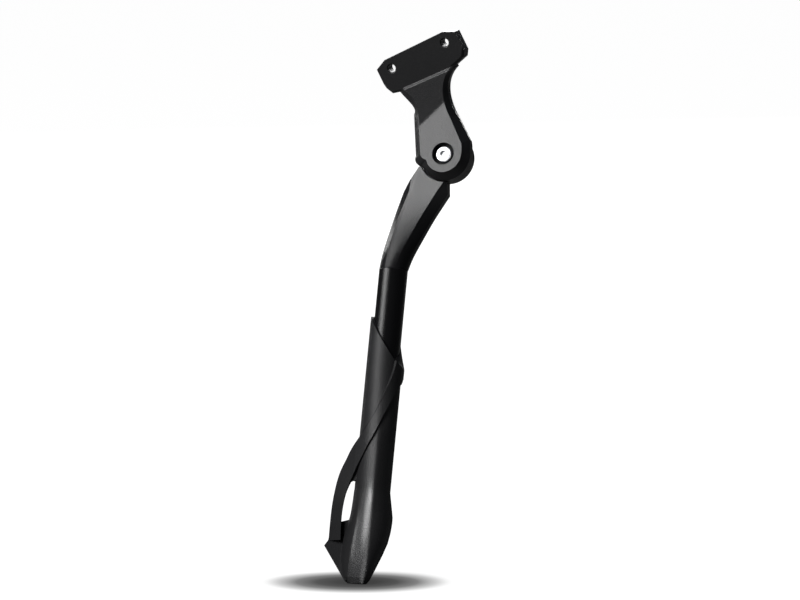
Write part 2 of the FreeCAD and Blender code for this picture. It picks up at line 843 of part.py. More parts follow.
def rod_end_plug():
    """Plastic plug with a flange over the end of the tube."""
    base = rod_frame() * Placement(Vector(0, 0, -size("rod_length")), Rotation())
    inner = "rod_diameter / 2 - rod_wall - spigot_clearance"
    return turned(
        "rod_end_plug",
        base,
        [
            ("0", "0 - plug_flange"),
            ("rod_diameter / 2 - plug_inset", "0 - plug_flange"),
            ("rod_diameter / 2 - plug_inset", "0"),
            (inner, "0"),
            (inner, "plug_length"),
            ("0", "plug_length"),
        ],
    )


# Foot sleeve

# The rim at angles round the sleeve, from its front towards the right: how far below the knee it meets the rod, then
# how far below the knee it ends outside. On the right it slopes, where the ribbon comes round from the back.
RIM = [
    (-72, 31.5, 31.5),
    (-53, 34.2, 34.2),
    (-34, 37.9, 37.9),
    (-14, 43.2, 43.2),
    (6, 49.0, 49.0),
    (21, 53.2, 53.2),
    (35, 56.7, 56.9),
    (47, 57.6, 59.2),
    (60, 55.6, 60.8),
    (76, 52.4, 62.2),
    (92, 49.8, 63.2),
    (108, 47.6, 63.0),
    (128, 45.0, 59.2),
    (150, 41.6, 51.6),
    (175, 37.8, 42.8),
    (205, 34.0, 35.4),
    (235, 31.2, 31.2),
    (264, 30.4, 30.4),
]

# The collar behind the rim, which the ribbon grows out of: angle, then the heights of its upper and lower edge.
COLLAR = [
    (250, 26, 33.6),
    (215, 26, 42.0),
    (180, 29, 51.0),
    (150, 33, 58.6),
    (125, 37, 65.0),
    (110, 41, 69.4),
]

# Behind this angle the collar fades into the sleeve.
COLLAR_FULL = 180

# The ribbon on the sleeve: angle and height of its upper edge, then of its lower edge.
RIBBON = [
    (86, 43, 103, 71.0),
    (68, 48, 98.5, 72.0),
    (57, 56, 94.5, 72.8),
    (50.5, 64.5, 89, 74.0),
    (44.5, 69.6, 78, 75.6),
    (38.3, 73.9, 67, 79.0),
    (31.2, 78.6, 57.5, 82.2),
    (22.2, 84.0, 48, 86.5),
    (12.6, 89.4, 38.5, 91.2),
    (1, 95.2, 28, 96.6),
    (-10.5, 99.9, 17.5, 102.5),
    (-25, 104.6, 5, 109.2),
    (-41, 109.2, -10.5, 116.0),
]

# The loop, where the ribbon leaves the sleeve: x, y and height of its left edge, then of its right edge, and the
# angle from the front that its sides keep.
LOOP = [
    (-14.2, -6.9, 117.4, -6.1, -11.1, 124.0, -28),
    (-17.6, -6.0, 125.0, -9.2, -9.6, 130.0, -18),
    (-20.5, -5.6, 131.8, -11.3, -8.8, 135.4, -6),
    (-22.2, -5.5, 138.2, -13.1, -8.6, 140.4, 4),
    (-23.2, -5.5, 144.6, -14.6, -8.6, 145.8, 11),
    (-23.9, -5.6, 151.4, -15.5, -8.6, 151.8, 14),
    (-24.2, -5.8, 159.0, -16.0, -8.6, 159.0, 15),
    (-24.1, -6.2, 168.0, -15.9, -8.6, 168.0, 15),
    (-23.7, -7.0, 177.6, -15.4, -8.6, 177.0, 15),
]

RIBBON_STEPS = 3

# The web that ties the loop to the sleeve above the window, and the fin that carries its lower end: x and height.
WEB = [(-5, 119), (-12.5, 126), (-15.5, 134), (-14.6, 139.2), (-12.6, 138.0), (-10.4, 138.2), (-5, 138)]
FIN = [(-9, 162.2), (-16.2, 164.6), (-22.6, 167), (-23.9, 177.3), (-26.1, 180.9), (-11.2, 202.6), (-6, 198)]


def sleeve_radius():
    return size("rod_diameter") / 2 + size("sleeve_wall")


def around(angle, radius, z):
    """A point at an angle from the front of the sleeve, towards the right."""
    turn = math.radians(angle)
    return Vector(radius * math.sin(turn), -radius * math.cos(turn), z)


def closed_curve(points):
    curve = Part.BSplineCurve()
    curve.interpolate(Points=points, PeriodicFlag=True)
    return curve.toShape()


def rim_cutter():
    """Everything above the rim: a radial face through the rim's curve, carried upwards."""
    at_rod = size("rod_diameter") / 2
    reach = size("collar_rise") + size("sleeve_wall")
    beyond = size("rim_reach")
    inner, outer = [], []
    for angle, drop_inside, drop_outside in RIM:
        slope = (drop_outside - drop_inside) / reach
        inner.append(around(angle, at_rod - beyond, slope * beyond - drop_inside))
        outer.append(around(angle, at_rod + reach + beyond, -slope * beyond - drop_outside))
    inner, outer = closed_curve(inner), closed_curve(outer)
    return Part.makeRuledSurface(inner, outer).extrude(Vector(0, 0, size("rod_length")))


def ribbon_section(row):
    """A band's section: crowned between its two edges, with square walls and a flat back."""
    upper, lower = Vector(*row[0:3]), Vector(*row[3:6])
    facing, crown, depth = row[6:9]
    outward = around(facing, 1.0, 0)
    crest = (upper + lower) * 0.5 + outward * crown
    inward = outward * -depth
    back = Part.makePolygon([lower, lower + inward, upper + inward, upper])
    return Part.Wire([Part.Arc(upper, crest, lower).toShape()] + back.Edges)


def ribbon():
    """The collar, the ribbon that grows out of it across the front of the sleeve, and the loop, as one loft.

    Each station is the upper edge's point, the lower edge's, the way the band faces, its crown and its depth.
    """
    stations = []
    depth = size("ribbon_thickness")
    for angle, top, low in COLLAR:
        fade = max(0.0, (angle - COLLAR_FULL) / (COLLAR[0][0] - COLLAR_FULL))
        radius = sleeve_radius() + size("collar_rise") - fade
        edges = [*around(angle, radius, -top), *around(angle, radius, -low)]
        stations.append(edges + [angle, size("collar_crown"), depth])
    for upper_angle, top, lower_angle, low in RIBBON:
        radius = sleeve_radius() + size("ribbon_rise")
        crown = radius * (1 - math.cos(math.radians(lower_angle - upper_angle) / 2))
        edges = [*around(upper_angle, radius, -top), *around(lower_angle, radius, -low)]
        stations.append(edges + [(upper_angle + lower_angle) / 2, crown, depth - crown])
    for left_x, left_y, left_drop, right_x, right_y, right_drop, facing in LOOP:
        edges = [left_x, left_y, -left_drop, right_x, right_y, -right_drop]
        stations.append(edges + [facing, size("loop_crown"), depth])
    return Part.makeLoft([ribbon_section(row) for row in eased(stations, RIBBON_STEPS)], True, True)


def foot_section(z, left, right, front, rear, x, y):
    """A rounded section of the foot across z: four sides, each corner cut by an arc."""
    points = [
        Vector(left + x, front, z),
        Vector(right - x, front, z),
        Vector(right, front + y, z),
        Vector(right, rear - y, z),
        Vector(right - x, rear, z),
        Vector(left + x, rear, z),
        Vector(left, rear - y, z),
        Vector(left, front + y, z),
    ]
    edges = []
    for index, start in enumerate(points):
        end = points[(index + 1) % 8]
        if index % 2 == 0:
            edges.append(Part.LineSegment(start, end).toShape())
            continue
        corner_x = right if index in (1, 3) else left
        corner_y = front if index in (1, 7) else rear
        bulge = Vector(corner_x, corner_y, z) - (start + end) * 0.5
        edges.append(Part.Arc(start, (start + end) * 0.5 + bulge * 0.41, end).toShape())
    return Part.Wire(edges)


# The foot's sections: height, left, right, front, back, and the reach of the rounded corners in x and in y.
FOOT_STEPS = 2
FOOT = [
    (-156.0, -11.8, 13.7, -11.9, 11.7, 10.6, 10.4),
    (-163.0, -12.4, 14.2, -12.0, 11.6, 10.0, 9.4),
    (-176.0, -15.0, 12.4, -11.3, 10.6, 9.0, 8.0),
    (-190.0, -15.0, 7.1, -9.2, 8.8, 6.4, 6.4),
    (-200.0, -13.0, 3.2, -6.6, 6.2, 4.4, 4.8),
    (-203.4, -10.4, 1.4, -3.6, 3.2, 2.8, 2.6),
]


def foot_solid():
    """The wedge foot: the round sleeve flares, leans to the left and narrows to a blunt end."""
    radius = sleeve_radius()
    round_corner = radius * 0.96
    start = -size("sleeve_foot_top")
    rows = [(height, -radius, radius, -radius, radius, round_corner, round_corner) for height in (start + 6, start)]
    rows = eased(rows + FOOT[:-1], FOOT_STEPS)[FOOT_STEPS:] + FOOT[-1:]
    return Part.makeLoft([foot_section(*row) for row in rows], True, True)


def flat_piece(outline, front, recede, thickness):
    """A flat piece beside the sleeve: an outline of x and height below the knee, its front receding to the right."""
    left = min(x for x, drop in outline)
    corners = [Vector(x, front + recede * (x - left), -drop) for x, drop in outline]
    return Part.Face(Part.makePolygon(corners + corners[:1])).extrude(Vector(0, thickness, 0))


def lock_axis_start():
    """Outer end of the lock boss at the back of the sleeve."""
    return Vector(0, sleeve_radius() + size("lock_boss_height"), -size("lock_drop"))


def foot_sleeve():
    """One moulding: sleeve, oblique rim, ribbon, loop, fin, foot, and the lock boss at the back."""
    radius = sleeve_radius()
    bore_radius = size("rod_diameter") / 2 + size("sleeve_clearance")
    top = -size("sleeve_foot_top")
    tube = cylinder(radius, -top - 20, Vector(0, 0, top), Vector(0, 0, 1))
    start = lock_axis_start()
    inward = Vector(0, -1, 0)
    boss = cylinder(size("lock_boss_diameter") / 2, size("lock_boss_height") + 2, start, inward)
    web = flat_piece(WEB, size("web_front"), 0, size("web_thickness"))
    fin = flat_piece(FIN, size("fin_front"), size("fin_recede"), size("fin_thickness"))
    body = tube.multiFuse([foot_solid(), fin, web, ribbon(), boss])
    bore = cylinder(bore_radius, size("sleeve_bore_drop"), Vector(0, 0, -size("sleeve_bore_drop")), Vector(0, 0, 1))
    insert_room = cylinder(size("insert_diameter") / 2, start.y, start, inward)
    body = body.cut(bore).cut(rim_cutter()).cut(insert_room)
    solids = sorted(body.Solids, key=lambda solid: solid.Volume)
    return solid_piece("foot_sleeve", solids[-1].removeSplitter(), rod_frame())


def lock_parts():
    """Insert, grub screw and pad, one behind the other, from the back of the sleeve to the groove's floor."""
    start = lock_axis_start()
    inward = Vector(0, -1, 0)
    rod = size("rod_diameter") / 2
    insert_end = rod + size("sleeve_clearance") + 0.4
    insert = cylinder(size("insert_diameter") / 2, start.y - insert_end, start, inward)
    insert = insert.cut(cylinder(size("lock_screw_diameter") / 2, start.y, start, inward))
    solid_piece("lock_insert", insert, rod_frame())
    screw_start = start + inward * 0.4
    screw = cylinder(size("lock_screw_diameter") / 2, size("lock_screw_length"), screw_start, inward)
    socket = Part.Face(
        Part.makePolygon(
            [
                screw_start + Vector(1.45 * math.cos(math.radians(60 * k)), 0, 1.45 * math.sin(math.radians(60 * k)))
                for k in range(7)
            ]
        )
    ).extrude(inward * 2.4)
    solid_piece("lock_screw", screw.cut(socket), rod_frame())
    pad_start = screw_start.y - size("lock_screw_length")
    pad_end = rod - size("groove_depth") + size("lock_pad_clearance")
    piece = cylinder(
        size("lock_pad_diameter") / 2, pad_start - pad_end, Vector(0, pad_start, -size("lock_drop")), inward
    )
    solid_piece("lock_pad", piece, rod_frame())


PIECES = [
    "mount_bracket",
    "pivot_bolt",
    "pivot_spacer",
    "front_thrust_washer",
    "rear_thrust_washer",
    "pivot_washer",
    "pivot_nut",
    "detent_plunger",
    "detent_spring",
    "leg_arm",
    "rod_tube",
    "rod_pin",
    "rod_end_plug",
    "foot_sleeve",
    "lock_insert",
    "lock_screw",
    "lock_pad",
]


def write_pieces():
    """Checks every object and then writes each piece."""
    DOC.recompute()
    broken = [item.Label for item in DOC.Objects if {"Invalid", "Error"} & set(item.State)]
    if broken:
        raise ValueError(f"failed: {broken}")
    pieces = {label: DOC.getObjectsByLabel(label)[0] for label in PIECES}
    for label, piece in pieces.items():
        if piece.Shape.isNull() or not piece.Shape.isValid() or not piece.Shape.Solids:
            raise ValueError(f"{label}: no valid solid")
        print(label, len(piece.Shape.Solids), round(piece.Shape.Volume, 1))
    os.makedirs("parts", exist_ok=True)
    for label, piece in pieces.items():
        piece.Shape.exportStep(os.path.join("parts", f"{label}.step"))


mount_bracket()
pivot_bolt()
pivot_stack()
detent_plunger()
detent_spring()
leg_arm()
rod_tube()
rod_pin()
rod_end_plug()
foot_sleeve()
lock_parts()
write_pieces()
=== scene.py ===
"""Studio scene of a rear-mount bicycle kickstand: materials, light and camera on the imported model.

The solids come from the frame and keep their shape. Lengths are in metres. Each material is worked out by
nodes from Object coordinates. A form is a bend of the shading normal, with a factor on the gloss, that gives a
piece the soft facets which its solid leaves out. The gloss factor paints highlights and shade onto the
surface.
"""

import json
import math

import bpy
from mathutils import Matrix, Vector


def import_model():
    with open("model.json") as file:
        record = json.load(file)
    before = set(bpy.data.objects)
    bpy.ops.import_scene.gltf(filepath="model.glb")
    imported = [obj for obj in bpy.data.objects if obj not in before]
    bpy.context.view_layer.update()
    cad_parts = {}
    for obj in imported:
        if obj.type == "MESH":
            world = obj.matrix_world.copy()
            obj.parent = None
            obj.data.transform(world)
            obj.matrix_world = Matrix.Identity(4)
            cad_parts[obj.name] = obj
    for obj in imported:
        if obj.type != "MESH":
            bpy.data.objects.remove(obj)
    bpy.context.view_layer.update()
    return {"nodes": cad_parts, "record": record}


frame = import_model()
scene = bpy.context.scene


# Places of the stand: the pivot, the knee below it, and frames along the leg and along the rod

GROUND = -0.322
PIVOT = (0.0204, -0.02095, -0.06065)
SPLAY = math.radians(23)
KNEE = (-0.027, 0.0115, -0.0759)
ROD_LEAN = math.radians(1.64)
LEG_FRAME = Matrix.Translation(PIVOT) @ Matrix.Rotation(-SPLAY, 4, "X")
ROD_FRAME = LEG_FRAME @ Matrix.Translation(KNEE) @ Matrix.Rotation(-ROD_LEAN, 4, "Y")


# Node helpers


def new_material(name):
    """A material with its Principled shader and output in place."""
    material = bpy.data.materials.new(name)
    material.use_nodes = True
    tree = material.node_tree
    return material, tree, tree.nodes["Principled BSDF"]


def add_node(tree, kind, **settings):
    """A new node with its settings."""
    node = tree.nodes.new(kind)
    for key, value in settings.items():
        setattr(node, key, value)
    return node


def put(tree, target, value):
    """Feeds a socket from another socket or sets its constant."""
    if isinstance(value, bpy.types.NodeSocket):
        tree.links.new(value, target)
    else:
        target.default_value = value


def fill(tree, sockets, values):
    """Feeds sockets in their order."""
    for socket, value in zip(sockets, values):
        put(tree, socket, value)


def maths(tree, operation, *values, clamp=False):
    """The result of one Math node."""
    node = add_node(tree, "ShaderNodeMath", operation=operation, use_clamp=clamp)
    fill(tree, node.inputs, values)
    return node.outputs[0]


def product(tree, first, *others):
    """All values multiplied."""
    for other in others:
        first = maths(tree, "MULTIPLY", first, other)
    return first


def total(tree, first, *others):
    """All values added."""
    for other in others:
        first = maths(tree, "ADD", first, other)
    return first


def difference(tree, first, second):
    return maths(tree, "SUBTRACT", first, second)


def rest_of(tree, mask):
    """One less the mask."""
    return difference(tree, 1.0, mask)


def between(tree, mask, none, full):
    """The first number where the mask is 0 and the second where it is 1."""
    return maths(tree, "MULTIPLY_ADD", mask, full - none, none)


def vector_maths(tree, operation, first, second=None):
    """The value or vector that one Vector Math node gives."""
    node = add_node(tree, "ShaderNodeVectorMath", operation=operation)
    put(tree, node.inputs[0], first)
    if second is not None:
        put(tree, node.inputs[1], second)
    return node.outputs["Value" if operation in ("DOT_PRODUCT", "LENGTH") else "Vector"]


def parts(tree, vector):
    """The three numbers of a vector."""
    node = add_node(tree, "ShaderNodeSeparateXYZ")
    put(tree, node.inputs[0], vector)
    return node.outputs[0:3]


def joined(tree, *values):
    """A vector from three numbers."""
    node = add_node(tree, "ShaderNodeCombineXYZ")
    fill(tree, node.inputs, values)
    return node.outputs[0]


def smooth(tree, value, low, high):
    """Eases from 0 at one value to 1 at the other, which may be the smaller one."""
    node = add_node(tree, "ShaderNodeMapRange", interpolation_type="SMOOTHSTEP")
    put(tree, node.inputs["Value"], value)
    results = (0.0, 1.0) if low < high else (1.0, 0.0)
    fill(tree, node.inputs[1:5], (min(low, high), max(low, high), *results))
    return node.outputs[0]


def even(tree, value, low, high, first, second):
    """Runs evenly from one number to another as a value goes from low to high, and stays there."""
    node = add_node(tree, "ShaderNodeMapRange")
    fill(tree, node.inputs[0:5], (value, low, high, first, second))
    return node.outputs[0]


def line_through(tree, value, points):
    """Straight runs through points, each as value and result, from the highest value down."""
    start, result = points[0]
    line = result
    for end, next_result in points[1:]:
        line = total(tree, even(tree, value, end, start, next_result - result, 0.0), line)
        start, result = end, next_result
    return line


def blend_vector(tree, factor, first, second):
    """A vector between two others."""
    node = add_node(tree, "ShaderNodeMix", data_type="VECTOR")
    put(tree, node.inputs["Factor"], factor)
    fill(tree, node.inputs[4:6], (first, second))
    return node.outputs[1]


def blend_colour(tree, factor, first, second):
    """A colour between two others."""
    node = add_node(tree, "ShaderNodeMix", data_type="RGBA")
    put(tree, node.inputs["Factor"], factor)
    fill(tree, node.inputs[6:8], (first, second))
    return node.outputs[2]


def ramp(tree, value, stops):
    """A grey ramp from stops, each as place and grey."""
    node = add_node(tree, "ShaderNodeValToRGB")
    put(tree, node.inputs["Fac"], value)
    elements = node.color_ramp.elements
    while len(elements) < len(stops):
        elements.new(0.5)
    for element, (place, grey) in zip(elements, stops):
        element.position = place
        element.color = rgb(grey)
    return node.outputs["Color"]


def rgb(red, green=None, blue=None):
    """A colour from three numbers, or a grey from one."""
    if green is None:
        green = blue = red
    return (red, green, blue, 1.0)


def noise(tree, vector, scale, detail, roughness):
    """A cloud of values from 0 to 1."""
    node = add_node(tree, "ShaderNodeTexNoise")
    put(tree, node.inputs["Vector"], vector)
    put(tree, node.inputs["Scale"], scale)
    node.inputs["Detail"].default_value = detail
    node.inputs["Roughness"].default_value = roughness
    return node.outputs["Fac"]


def own_place(tree):
    """The place on the piece, in its own coordinates."""
    return add_node(tree, "ShaderNodeTexCoord").outputs["Object"]


def measured_in(tree, place, local):
    """A place measured in a local frame."""
    node = add_node(tree, "ShaderNodeMapping", vector_type="TEXTURE")
    put(tree, node.inputs["Vector"], place)
    node.inputs["Location"].default_value = local.translation
    node.inputs["Rotation"].default_value = local.to_euler("XYZ")
    return node.outputs[0]


def from_pivot(tree, place):
    """Distance from the axis of the pivot screw."""
    across, _, height = parts(tree, measured_in(tree, place, LEG_FRAME))
    return vector_maths(tree, "LENGTH", joined(tree, across, 0.0, height))


def changed_space(tree, normal, source, target):
    """A normal taken from one space to another, at length one."""
    node = add_node(
        tree, "ShaderNodeVectorTransform", vector_type="NORMAL", convert_from=source, convert_to=target
    )
    put(tree, node.inputs[0], normal)
    return vector_maths(tree, "NORMALIZE", node.outputs[0])


def to_piece(tree, normal):
    return changed_space(tree, normal, "WORLD", "OBJECT")


def to_world(tree, normal):
    return changed_space(tree, normal, "OBJECT", "WORLD")


def turned_to_rod(tree, vector, inverse):
    """Turns a vector from the piece's frame to the rod's where inverse is set, otherwise back."""
    node = add_node(tree, "ShaderNodeVectorRotate", rotation_type="EULER_XYZ", invert=inverse)
    put(tree, node.inputs["Vector"], vector)
    node.inputs["Rotation"].default_value = ROD_FRAME.to_euler("XYZ")
    return node.outputs[0]


def swung(tree, vector, angle):
    """A vector turned about the upright axis."""
    node = add_node(tree, "ShaderNodeVectorRotate", rotation_type="Z_AXIS")
    put(tree, node.inputs["Vector"], vector)
    put(tree, node.inputs["Angle"], angle)
    return node.outputs[0]


# Effects that the materials share


def new_group(name, inputs, outputs):
    """An empty group with its named inputs and outputs."""
    tree = bpy.data.node_groups.new(name, "ShaderNodeTree")
    for label, kind, value in inputs:
        socket = tree.interface.new_socket(label, in_out="INPUT", socket_type=kind)
        if value is not None:
            socket.default_value = value
    for label, kind in outputs:
        tree.interface.new_socket(label, in_out="OUTPUT", socket_type=kind)
    return tree, add_node(tree, "NodeGroupInput"), add_node(tree, "NodeGroupOutput")


EDGE_RADIUS = 0.0004
EDGE_SAMPLES = 6
# Edge tone mask: real wear, and on the forged alloy also a painted edge highlight
EDGE_WEAR_AND_HIGHLIGHT = (1.0, 0.89)
FINE_GRAIN = 1500.0
GRAIN_DEPTH = 0.15
GRAIN_HEIGHT = 0.0004
GRAIN_DETAIL = (3.0, 0.62)
BLOTCH_SCALE = 55.0
BLOTCH_DETAIL = (4.0, 0.55)


def edge_group():
    """The normal rounded at sharp edges, and a mask that grows as it departs from the flat normal."""
    inputs = [("Radius", "NodeSocketFloat", EDGE_RADIUS)]
    outputs = [("Normal", "NodeSocketVector"), ("Edge", "NodeSocketFloat")]
    tree, given, out = new_group("edges", inputs, outputs)
    bevel = add_node(tree, "ShaderNodeBevel", samples=EDGE_SAMPLES)
    put(tree, bevel.inputs["Radius"], given.outputs["Radius"])
    flat = add_node(tree, "ShaderNodeNewGeometry").outputs["Normal"]
    straight = vector_maths(tree, "DOT_PRODUCT", bevel.outputs["Normal"], flat)
    put(tree, out.inputs["Normal"], bevel.outputs["Normal"])
    put(tree, out.inputs["Edge"], smooth(tree, straight, *EDGE_WEAR_AND_HIGHLIGHT))
    return tree


def grain_group():
    """Fine grain and soft blotches, and the normal roughened by the grain."""
    inputs = [
        ("Scale", "NodeSocketFloat", FINE_GRAIN),
        ("Depth", "NodeSocketFloat", GRAIN_DEPTH),
        ("Normal", "NodeSocketVector", None),
    ]
    outputs = [("Grain", "NodeSocketFloat"), ("Blotch", "NodeSocketFloat"), ("Normal", "NodeSocketVector")]
    tree, given, out = new_group("grain", inputs, outputs)
    place = own_place(tree)
    grain = noise(tree, place, given.outputs["Scale"], *GRAIN_DETAIL)
    bump = add_node(tree, "ShaderNodeBump")
    put(tree, bump.inputs["Height"], grain)
    put(tree, bump.inputs["Strength"], given.outputs["Depth"])
    bump.inputs["Distance"].default_value = GRAIN_HEIGHT
    put(tree, bump.inputs["Normal"], given.outputs["Normal"])
    put(tree, out.inputs["Grain"], grain)
    put(tree, out.inputs["Blotch"], noise(tree, place, BLOTCH_SCALE, *BLOTCH_DETAIL))
    put(tree, out.inputs["Normal"], bump.outputs["Normal"])
    return tree


EDGES = edge_group()
GRAIN = grain_group()


# Form of the forged head

NECK_LEAN = math.radians(2)
PLATE_LEAN = math.radians(-6)
NECK_FRONT = -0.0110
PLATE_FRONT = -0.0104
SLANT = math.radians(45)
SLANT_REACH = 0.0333
SLANT_SOFT = 0.0016
NOT_SIDEWAYS = (0.12, 0.05)
NOT_UPWARD = (0.45, 0.42)
NOT_DOWNWARD = (-0.2, -0.1)
# Painted shade in the screw's recess: inside this radius the gloss is cut
RECESS_RADIUS = 0.0072
RECESS_SOFT = 0.0002
RECESS_SHADE_GLOSS = 0.08


def head_form(tree, normal):
    """The head's front facets lean by where they lie, and the screw's recess has painted shade from cut gloss.

    The lean is the plate's behind the neck's front, the neck's on it, and the plateau's past a slanted line.
    The wanted normal is zero, minus the lean's cosine and its sine.
    """
    inside = to_piece(tree, normal)
    along, _, up = parts(tree, inside)
    place = own_place(tree)
    place_x, place_y, place_z = parts(tree, place)
    across = maths(tree, "MULTIPLY", place_x, math.cos(SLANT))
    across = maths(tree, "MULTIPLY_ADD", place_z, -math.sin(SLANT), across)
    past = smooth(tree, across, SLANT_REACH - SLANT_SOFT, SLANT_REACH + SLANT_SOFT)
    lean = even(tree, place_y, NECK_FRONT, PLATE_FRONT, NECK_LEAN, PLATE_LEAN)
    lean = total(tree, lean, product(tree, past, SPLAY - NECK_LEAN))
    front = product(tree, maths(tree, "COSINE", lean), -1.0)
    wanted = joined(tree, 0.0, front, maths(tree, "SINE", lean))
    facing = smooth(tree, maths(tree, "ABSOLUTE", along), *NOT_SIDEWAYS)
    level = product(tree, smooth(tree, up, *NOT_UPWARD), smooth(tree, up, *NOT_DOWNWARD))
    bent = blend_vector(tree, product(tree, facing, level), inside, wanted)
    outside = smooth(tree, from_pivot(tree, place), RECESS_RADIUS - RECESS_SOFT, RECESS_RADIUS + RECESS_SOFT)
    return to_world(tree, bent), between(tree, outside, RECESS_SHADE_GLOSS, 1.0)


# Form of the forged arm: its ridge is given as height and place across

RIDGE = [(-0.0855, -0.0013), (-0.1006, -0.0061), (-0.1216, -0.0096)]
RIDGE_SOFT = (-0.0003, 0.0004)
LEFT_FACING = (-0.2, -0.42)
ARM_FRONT = (0.0, -0.89, 0.45)
ARM_TURN = (-1.3, 0.6)
ARM_END = (-0.126, -0.112)
# Painted shade down the arm's front: the heights over which its gloss falls, and its lowest gloss
ARM_SHADE_HEIGHTS = (-0.082, -0.116)
ARM_SHADE_GLOSS = 0.3
# Painted shade in the seam with the tube: rod heights below which the arm's gloss is cut
SEAM = (0.0003, 0.0007)


def arm_form(tree, normal):
    """The arm's left facet turns from the light, its front has painted shade that deepens downwards, and its
    end has painted shade in the seam.

    Of the surfaces that face left, those right of the ridge take the front's normal, and those left of it are
    pushed further to the left.
    """
    inside = to_piece(tree, normal)
    place = own_place(tree)
    across, _, height = parts(tree, place)
    left = smooth(tree, parts(tree, inside)[0], *LEFT_FACING)
    lit = smooth(tree, difference(tree, across, line_through(tree, height, RIDGE)), *RIDGE_SOFT)
    wide = blend_vector(tree, product(tree, left, lit), inside, joined(tree, *ARM_FRONT))
    narrow = product(tree, left, rest_of(tree, lit), smooth(tree, height, *ARM_END))
    turned = joined(tree, product(tree, narrow, ARM_TURN[0]), product(tree, narrow, ARM_TURN[1]), 0.0)
    # Painted shade in the seam: no gloss at the arm's end
    above_seam = smooth(tree, parts(tree, measured_in(tree, place, ROD_FRAME))[2], *SEAM)
    # Painted shade: the front's gloss falls going down
    painted_shade = between(tree, smooth(tree, height, *ARM_SHADE_HEIGHTS), 1.0, ARM_SHADE_GLOSS)
    return to_world(tree, vector_maths(tree, "ADD", wide, turned)), product(tree, above_seam, painted_shade)


# Form of the tube

TUBE_SWING = math.radians(6)


def tube_form(tree, normal):
    """The tube's normals swing a little to the right, so its bright line lies at a quarter of its width."""
    return to_world(tree, swung(tree, to_piece(tree, normal), TUBE_SWING)), None


# Form of the pivot screw

SCREW_FACING = (0.25, 0.5)
SCREW_RIM = (0.0050, 0.0046)
SCREW_FLATNESS = 0.8


def screw_form(tree, normal):
    """The screw's domed face, inside its rim, turns most of the way to its axis and is bright all over."""
    inside = to_piece(tree, normal)
    axis = joined(tree, 0.0, -math.cos(SPLAY), math.sin(SPLAY))
    facing = smooth(tree, vector_maths(tree, "DOT_PRODUCT", inside, axis), *SCREW_FACING)
    within = smooth(tree, from_pivot(tree, own_place(tree)), *SCREW_RIM)
    bent = blend_vector(tree, product(tree, facing, within, SCREW_FLATNESS), inside, axis)
    return to_world(tree, bent), None


# Form of the foot sleeve, in the rod's frame: heights run down from the knee and are below zero

SLEEVE_SWING = math.radians(-16)
SWING_HEIGHTS = (-0.050, -0.135)
FOOT_START = (-0.148, -0.158)
FRONT_FACING = (-0.25, -0.6)
FOOT_RIDGE_HEIGHTS = (-0.165, -0.200)
FOOT_RIDGE_ACROSS = (-0.0046, -0.0090)
FOOT_RIDGE_SOFT = (-0.0002, 0.0014)
FOOT_LEFT_TURN = -0.9
TOE_START = (-0.184, -0.202)
TOE_TURN = -0.22
RIGHT_ACROSS = (0.0024, 0.0064)
RIGHT_START = (-0.090, -0.120)
RIGHT_TURN = 0.6


def foot_bend(tree, inside, across, height):
    """The normal of the sleeve and foot in the rod's frame.

    It swings left going down. Its part along x is then pushed right on the right side, left past the foot's
    left ridge and at the toe, and its part along z is taken out on the foot.
    """
    swing = product(tree, smooth(tree, height, *SWING_HEIGHTS), SLEEVE_SWING)
    along, front, up = parts(tree, swung(tree, inside, swing))
    on_foot = smooth(tree, height, *FOOT_START)
    forward = smooth(tree, front, *FRONT_FACING)
    facing = product(tree, forward, on_foot)
    ridge = even(tree, height, *FOOT_RIDGE_HEIGHTS, *FOOT_RIDGE_ACROSS)
    left = smooth(tree, difference(tree, ridge, across), *FOOT_RIDGE_SOFT)
    left = product(tree, left, facing, FOOT_LEFT_TURN)
    toe = product(tree, smooth(tree, height, *TOE_START), facing, TOE_TURN)
    right = product(tree, smooth(tree, across, *RIGHT_ACROSS), smooth(tree, height, *RIGHT_START))
    right = product(tree, right, forward, RIGHT_TURN)
    along = total(tree, along, right, left, toe)
    return joined(tree, along, front, product(tree, up, rest_of(tree, on_foot)))


# Painted highlights on the sleeve and foot: a gloss gain that grows going down, and three soft streaks
STREAK_CORE = 0.2
SLEEVE_HIGHLIGHT_GAIN = (0.75, 1.10)
HIGHLIGHT_GAIN_HEIGHTS = (-0.075, -0.125)
MAIN_HIGHLIGHT_STREAK = ((-0.134, 0.0028), (-0.188, 0.0008), 0.0032)
MAIN_HIGHLIGHT_GAIN = 4.4
LEFT_HIGHLIGHT_STREAK = ((-0.150, -0.0040), (-0.196, -0.0072), 0.0022)
LEFT_HIGHLIGHT_GAIN = 1.6
TOE_HIGHLIGHT_STREAK = ((-0.182, 0.0040), (-0.206, 0.0002), 0.0022)
TOE_HIGHLIGHT_GAIN = 0.25


def painted_highlight_streak(tree, across, height, upper, lower, half_width):
    """A soft line of painted highlight on the foot between two points, each as height and place across,
    strongest halfway.
    """
    slope = (lower[1] - upper[1]) / (lower[0] - upper[0])
    line = maths(tree, "MULTIPLY_ADD", height, slope, upper[1] - slope * upper[0])
    beside = maths(tree, "ABSOLUTE", difference(tree, across, line))
    half_length = (upper[0] - lower[0]) / 2
    beyond = maths(tree, "ABSOLUTE", difference(tree, height, (upper[0] + lower[0]) / 2))
    ends = smooth(tree, beyond, half_length, half_length * STREAK_CORE)
    return product(tree, smooth(tree, beside, half_width, 0.0), ends)


